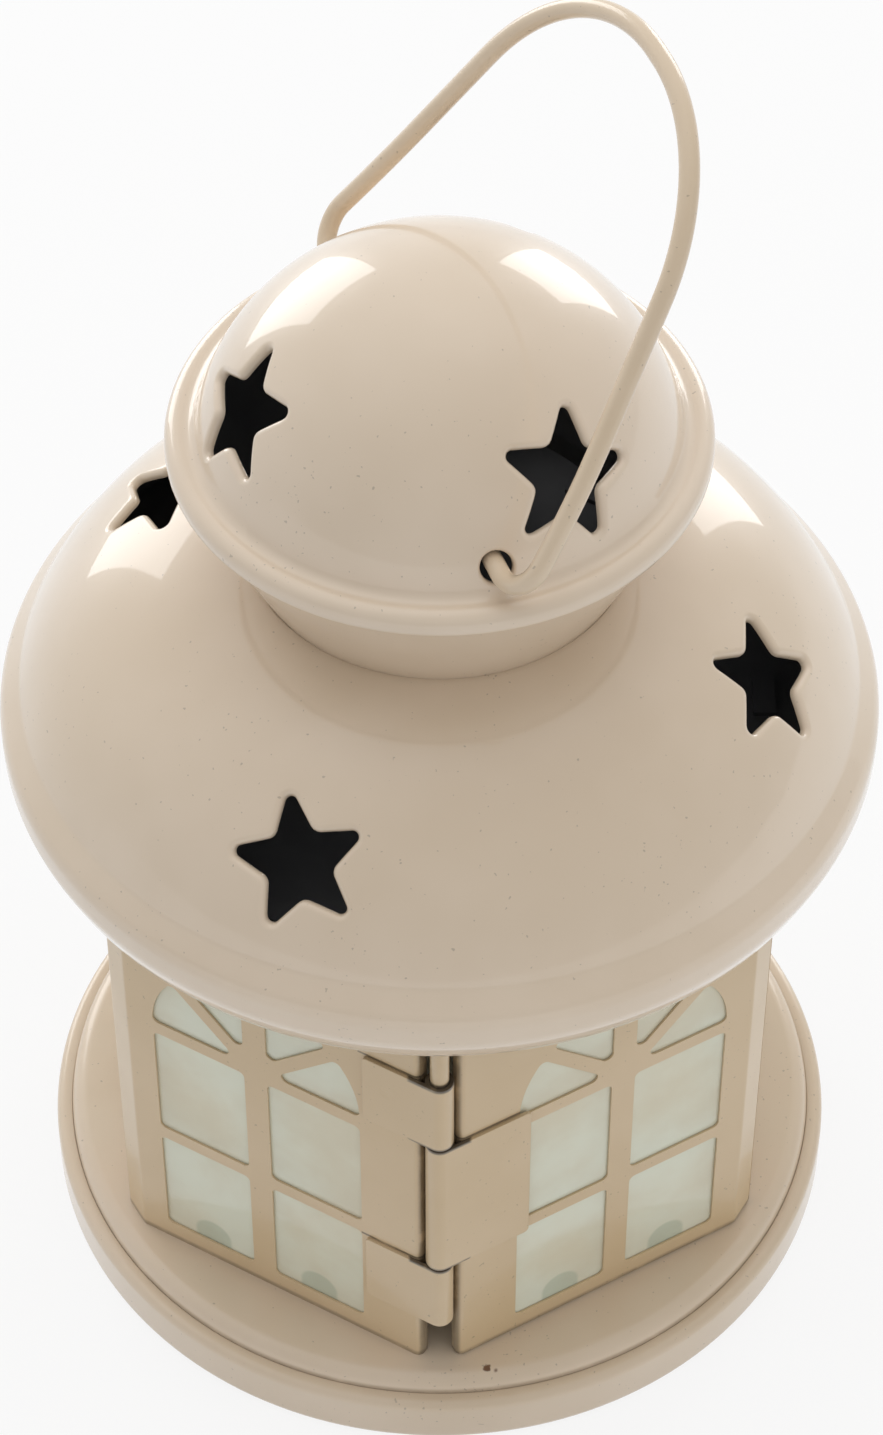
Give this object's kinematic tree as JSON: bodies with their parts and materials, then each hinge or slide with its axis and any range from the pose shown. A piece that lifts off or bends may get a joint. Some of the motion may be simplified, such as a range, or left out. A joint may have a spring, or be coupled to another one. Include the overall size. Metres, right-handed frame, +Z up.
{
  "type": "punched tin lantern",
  "caption": "Cream painted tin candle lantern with a hexagonal glazed body, a hinged door, a domed roof and cap punched with stars, and a wire bail handle.",
  "frame": {"origin": "centre of the underside of the base, on the plane that the lantern stands on", "axes": "+Z up; -Y to the front, where the hinge corner is; +X to the right of a viewer in front"},
  "size_m": [0.1206, 0.1206, 0.2019],
  "materials": {
    "cream_paint": "gloss",
    "window_glass": "clear",
    "bare_tin": "satin",
    "dark_inside": "matte"
  },
  "bodies": {
    "lantern": {"base_pan": "cream_paint", "base_plate": "cream_paint", "candle_cup": "bare_tin", "cup_rivet": "bare_tin", "wall_sheet": "cream_paint", "hinge_leaf_lower": "cream_paint", "hinge_leaf_upper": "cream_paint", "hinge_pin": "cream_paint", "door_catch": "bare_tin", "top_plate": "dark_inside", "roof": "cream_paint", "neck_collar": "cream_paint", "cap": "cream_paint", "pane_front_left": "window_glass", "pane_right": "window_glass", "pane_rear_right": "window_glass", "pane_rear_left": "window_glass", "pane_left": "window_glass", "pane_clips": "cream_paint"},
    "door": {"door_panel": "cream_paint", "door_pane": "window_glass", "door_clips": "cream_paint", "door_hinge_leaf": "cream_paint"},
    "bail": {"bail_handle": "cream_paint"}
  },
  "joints": [
    {"name": "door_hinge", "type": "hinge", "parent": "lantern", "child": "door", "pos_m": [0, -0.05156, 0.05], "axis": [0, 0, -1], "range_deg": [0, 150]},
    {"name": "bail_swing", "type": "hinge", "parent": "lantern", "child": "bail", "pos_m": [-0.00373, -0.00143, 0.1524], "axis": [-0.3584, 0.9336, 0], "range_deg": [-124, 56]}
  ]
}
